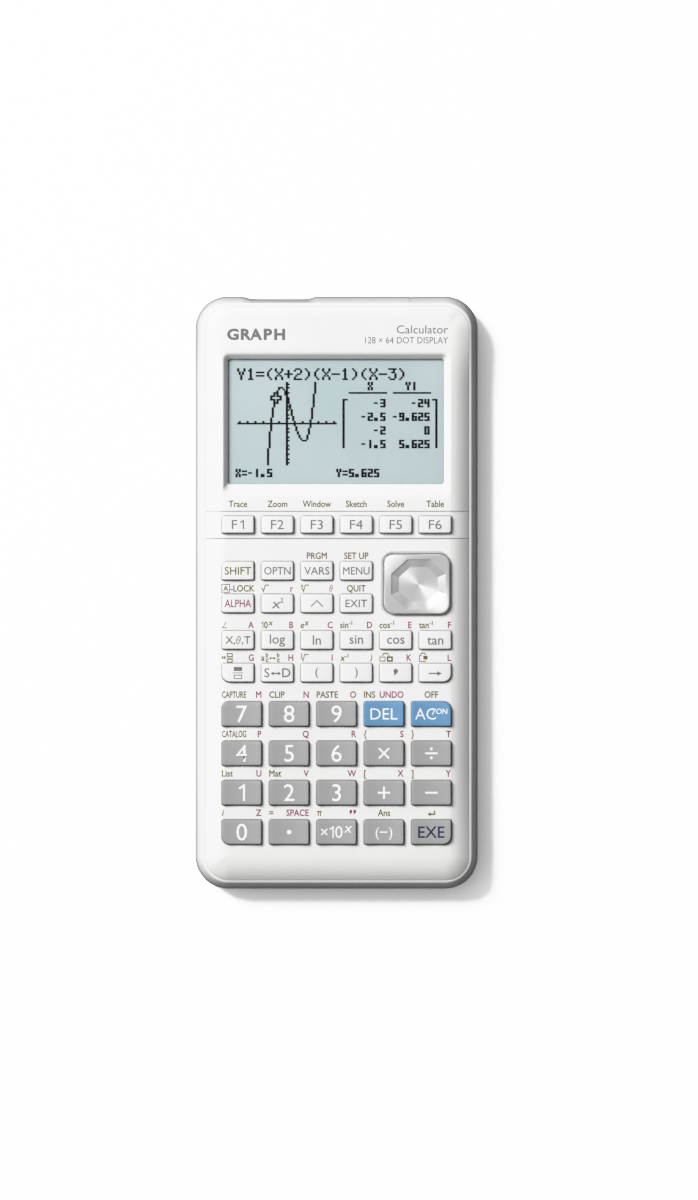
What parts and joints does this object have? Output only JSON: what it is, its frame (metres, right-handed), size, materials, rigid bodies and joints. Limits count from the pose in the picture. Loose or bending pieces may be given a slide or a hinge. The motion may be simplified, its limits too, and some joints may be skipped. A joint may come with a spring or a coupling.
{
  "type": "graphing calculator",
  "caption": "Hand-held graphing calculator: shell halves with a bevelled display window, push keys that travel, a tilting cursor pad and a hinged battery cover over its cells.",
  "frame": {"origin": "centre of the flat back, under the middle of the case", "axes": "+X to the right of the keys, +Y towards the display end, +Z out of the keys"},
  "size_m": [0.0834, 0.1756, 0.0186],
  "materials": {
    "face_plastic": "white, satin gloss, injection moulded",
    "rear_plastic": "white, fine spark texture",
    "white_key": "white, satin",
    "grey_key": "mid grey, satin",
    "blue_key": "mid blue, satin",
    "silver_paint": "silver metallic, spun facets",
    "clear_window": "clear, polished",
    "display_glass": "pale grey-green reflective",
    "circuit_board": "green solder mask",
    "key_rubber": "matt silicone",
    "cell_jacket": "printed jacket with bare metal ends",
    "port_steel": "nickel plated",
    "print_ink": "printed legends, thin solids"
  },
  "bodies": {
    "case": {"front_case": "face_plastic", "rear_case": "rear_plastic", "display_window": "clear_window", "lcd_panel": "display_glass", "main_board": "circuit_board", "key_sheet": "key_rubber", "data_port": "port_steel", "battery_1": "cell_jacket", "battery_2": "cell_jacket", "battery_3": "cell_jacket", "battery_4": "cell_jacket"},
    "battery_cover": {"battery_cover": "rear_plastic"},
    "cursor_pivot": {"cursor_pivot": "rear_plastic"},
    "cursor_pad": {"cursor_pad": "silver_paint"},
    "key_f1": {"key_f1": "white_key"},
    "key_f2": {"key_f2": "white_key"},
    "key_f3": {"key_f3": "white_key"},
    "key_f4": {"key_f4": "white_key"},
    "key_f5": {"key_f5": "white_key"},
    "key_f6": {"key_f6": "white_key"},
    "key_shift": {"key_shift": "white_key"},
    "key_optn": {"key_optn": "white_key"},
    "key_vars": {"key_vars": "white_key"},
    "key_menu": {"key_menu": "white_key"},
    "key_alpha": {"key_alpha": "white_key"},
    "key_square": {"key_square": "white_key"},
    "key_power": {"key_power": "white_key"},
    "key_exit": {"key_exit": "white_key"},
    "key_variable": {"key_variable": "white_key"},
    "key_log": {"key_log": "white_key"},
    "key_ln": {"key_ln": "white_key"},
    "key_sin": {"key_sin": "white_key"},
    "key_cos": {"key_cos": "white_key"},
    "key_tan": {"key_tan": "white_key"},
    "key_fraction": {"key_fraction": "white_key"},
    "key_convert": {"key_convert": "white_key"},
    "key_open_bracket": {"key_open_bracket": "white_key"},
    "key_close_bracket": {"key_close_bracket": "white_key"},
    "key_comma": {"key_comma": "white_key"},
    "key_store": {"key_store": "white_key"},
    "key_7": {"key_7": "grey_key"},
    "key_8": {"key_8": "grey_key"},
    "key_9": {"key_9": "grey_key"},
    "key_del": {"key_del": "blue_key"},
    "key_ac": {"key_ac": "blue_key"},
    "key_4": {"key_4": "grey_key"},
    "key_5": {"key_5": "grey_key"},
    "key_6": {"key_6": "grey_key"},
    "key_times": {"key_times": "grey_key"},
    "key_divide": {"key_divide": "grey_key"},
    "key_1": {"key_1": "grey_key"},
    "key_2": {"key_2": "grey_key"},
    "key_3": {"key_3": "grey_key"},
    "key_plus": {"key_plus": "grey_key"},
    "key_minus": {"key_minus": "grey_key"},
    "key_0": {"key_0": "grey_key"},
    "key_point": {"key_point": "grey_key"},
    "key_exponent": {"key_exponent": "grey_key"},
    "key_negative": {"key_negative": "grey_key"},
    "key_exe": {"key_exe": "grey_key"}
  },
  "joints": [
    {"name": "battery_cover_hinge", "type": "hinge", "parent": "case", "child": "battery_cover", "pos_m": [0, -0.0746, 0.00075], "axis": [-1, 0, 0], "range_deg": [0, 90]},
    {"name": "cursor_pad_pitch", "type": "hinge", "parent": "case", "child": "cursor_pivot", "pos_m": [0.02394, 0.00245, 0.0149], "axis": [1, 0, 0], "range_deg": [-2.5, 2.5], "deforming": ["key_sheet"]},
    {"name": "cursor_pad_roll", "type": "hinge", "parent": "cursor_pivot", "child": "cursor_pad", "pos_m": [0.02394, 0.00245, 0.0149], "axis": [0, 1, 0], "range_deg": [-2.5, 2.5], "deforming": ["key_sheet"]},
    {"name": "key_f1_press", "type": "slide", "parent": "case", "child": "key_f1", "axis": [0, 0, -1], "range_m": [0, 0.0009], "deforming": ["key_sheet"]},
    {"name": "key_f2_press", "type": "slide", "parent": "case", "child": "key_f2", "axis": [0, 0, -1], "range_m": [0, 0.0009], "deforming": ["key_sheet"]},
    {"name": "key_f3_press", "type": "slide", "parent": "case", "child": "key_f3", "axis": [0, 0, -1], "range_m": [0, 0.0009], "deforming": ["key_sheet"]},
    {"name": "key_f4_press", "type": "slide", "parent": "case", "child": "key_f4", "axis": [0, 0, -1], "range_m": [0, 0.0009], "deforming": ["key_sheet"]},
    {"name": "key_f5_press", "type": "slide", "parent": "case", "child": "key_f5", "axis": [0, 0, -1], "range_m": [0, 0.0009], "deforming": ["key_sheet"]},
    {"name": "key_f6_press", "type": "slide", "parent": "case", "child": "key_f6", "axis": [0, 0, -1], "range_m": [0, 0.0009], "deforming": ["key_sheet"]},
    {"name": "key_shift_press", "type": "slide", "parent": "case", "child": "key_shift", "axis": [0, 0, -1], "range_m": [0, 0.0009], "deforming": ["key_sheet"]},
    {"name": "key_optn_press", "type": "slide", "parent": "case", "child": "key_optn", "axis": [0, 0, -1], "range_m": [0, 0.0009], "deforming": ["key_sheet"]},
    {"name": "key_vars_press", "type": "slide", "parent": "case", "child": "key_vars", "axis": [0, 0, -1], "range_m": [0, 0.0009], "deforming": ["key_sheet"]},
    {"name": "key_menu_press", "type": "slide", "parent": "case", "child": "key_menu", "axis": [0, 0, -1], "range_m": [0, 0.0009], "deforming": ["key_sheet"]},
    {"name": "key_alpha_press", "type": "slide", "parent": "case", "child": "key_alpha", "axis": [0, 0, -1], "range_m": [0, 0.0009], "deforming": ["key_sheet"]},
    {"name": "key_square_press", "type": "slide", "parent": "case", "child": "key_square", "axis": [0, 0, -1], "range_m": [0, 0.0009], "deforming": ["key_sheet"]},
    {"name": "key_power_press", "type": "slide", "parent": "case", "child": "key_power", "axis": [0, 0, -1], "range_m": [0, 0.0009], "deforming": ["key_sheet"]},
    {"name": "key_exit_press", "type": "slide", "parent": "case", "child": "key_exit", "axis": [0, 0, -1], "range_m": [0, 0.0009], "deforming": ["key_sheet"]},
    {"name": "key_variable_press", "type": "slide", "parent": "case", "child": "key_variable", "axis": [0, 0, -1], "range_m": [0, 0.0009], "deforming": ["key_sheet"]},
    {"name": "key_log_press", "type": "slide", "parent": "case", "child": "key_log", "axis": [0, 0, -1], "range_m": [0, 0.0009], "deforming": ["key_sheet"]},
    {"name": "key_ln_press", "type": "slide", "parent": "case", "child": "key_ln", "axis": [0, 0, -1], "range_m": [0, 0.0009], "deforming": ["key_sheet"]},
    {"name": "key_sin_press", "type": "slide", "parent": "case", "child": "key_sin", "axis": [0, 0, -1], "range_m": [0, 0.0009], "deforming": ["key_sheet"]},
    {"name": "key_cos_press", "type": "slide", "parent": "case", "child": "key_cos", "axis": [0, 0, -1], "range_m": [0, 0.0009], "deforming": ["key_sheet"]},
    {"name": "key_tan_press", "type": "slide", "parent": "case", "child": "key_tan", "axis": [0, 0, -1], "range_m": [0, 0.0009], "deforming": ["key_sheet"]},
    {"name": "key_fraction_press", "type": "slide", "parent": "case", "child": "key_fraction", "axis": [0, 0, -1], "range_m": [0, 0.0009], "deforming": ["key_sheet"]},
    {"name": "key_convert_press", "type": "slide", "parent": "case", "child": "key_convert", "axis": [0, 0, -1], "range_m": [0, 0.0009], "deforming": ["key_sheet"]},
    {"name": "key_open_bracket_press", "type": "slide", "parent": "case", "child": "key_open_bracket", "axis": [0, 0, -1], "range_m": [0, 0.0009], "deforming": ["key_sheet"]},
    {"name": "key_close_bracket_press", "type": "slide", "parent": "case", "child": "key_close_bracket", "axis": [0, 0, -1], "range_m": [0, 0.0009], "deforming": ["key_sheet"]},
    {"name": "key_comma_press", "type": "slide", "parent": "case", "child": "key_comma", "axis": [0, 0, -1], "range_m": [0, 0.0009], "deforming": ["key_sheet"]},
    {"name": "key_store_press", "type": "slide", "parent": "case", "child": "key_store", "axis": [0, 0, -1], "range_m": [0, 0.0009], "deforming": ["key_sheet"]},
    {"name": "key_7_press", "type": "slide", "parent": "case", "child": "key_7", "axis": [0, 0, -1], "range_m": [0, 0.0009], "deforming": ["key_sheet"]},
    {"name": "key_8_press", "type": "slide", "parent": "case", "child": "key_8", "axis": [0, 0, -1], "range_m": [0, 0.0009], "deforming": ["key_sheet"]},
    {"name": "key_9_press", "type": "slide", "parent": "case", "child": "key_9", "axis": [0, 0, -1], "range_m": [0, 0.0009], "deforming": ["key_sheet"]},
    {"name": "key_del_press", "type": "slide", "parent": "case", "child": "key_del", "axis": [0, 0, -1], "range_m": [0, 0.0009], "deforming": ["key_sheet"]},
    {"name": "key_ac_press", "type": "slide", "parent": "case", "child": "key_ac", "axis": [0, 0, -1], "range_m": [0, 0.0009], "deforming": ["key_sheet"]},
    {"name": "key_4_press", "type": "slide", "parent": "case", "child": "key_4", "axis": [0, 0, -1], "range_m": [0, 0.0009], "deforming": ["key_sheet"]},
    {"name": "key_5_press", "type": "slide", "parent": "case", "child": "key_5", "axis": [0, 0, -1], "range_m": [0, 0.0009], "deforming": ["key_sheet"]},
    {"name": "key_6_press", "type": "slide", "parent": "case", "child": "key_6", "axis": [0, 0, -1], "range_m": [0, 0.0009], "deforming": ["key_sheet"]},
    {"name": "key_times_press", "type": "slide", "parent": "case", "child": "key_times", "axis": [0, 0, -1], "range_m": [0, 0.0009], "deforming": ["key_sheet"]},
    {"name": "key_divide_press", "type": "slide", "parent": "case", "child": "key_divide", "axis": [0, 0, -1], "range_m": [0, 0.0009], "deforming": ["key_sheet"]},
    {"name": "key_1_press", "type": "slide", "parent": "case", "child": "key_1", "axis": [0, 0, -1], "range_m": [0, 0.0009], "deforming": ["key_sheet"]},
    {"name": "key_2_press", "type": "slide", "parent": "case", "child": "key_2", "axis": [0, 0, -1], "range_m": [0, 0.0009], "deforming": ["key_sheet"]},
    {"name": "key_3_press", "type": "slide", "parent": "case", "child": "key_3", "axis": [0, 0, -1], "range_m": [0, 0.0009], "deforming": ["key_sheet"]},
    {"name": "key_plus_press", "type": "slide", "parent": "case", "child": "key_plus", "axis": [0, 0, -1], "range_m": [0, 0.0009], "deforming": ["key_sheet"]},
    {"name": "key_minus_press", "type": "slide", "parent": "case", "child": "key_minus", "axis": [0, 0, -1], "range_m": [0, 0.0009], "deforming": ["key_sheet"]},
    {"name": "key_0_press", "type": "slide", "parent": "case", "child": "key_0", "axis": [0, 0, -1], "range_m": [0, 0.0009], "deforming": ["key_sheet"]},
    {"name": "key_point_press", "type": "slide", "parent": "case", "child": "key_point", "axis": [0, 0, -1], "range_m": [0, 0.0009], "deforming": ["key_sheet"]},
    {"name": "key_exponent_press", "type": "slide", "parent": "case", "child": "key_exponent", "axis": [0, 0, -1], "range_m": [0, 0.0009], "deforming": ["key_sheet"]},
    {"name": "key_negative_press", "type": "slide", "parent": "case", "child": "key_negative", "axis": [0, 0, -1], "range_m": [0, 0.0009], "deforming": ["key_sheet"]},
    {"name": "key_exe_press", "type": "slide", "parent": "case", "child": "key_exe", "axis": [0, 0, -1], "range_m": [0, 0.0009], "deforming": ["key_sheet"]}
  ]
}
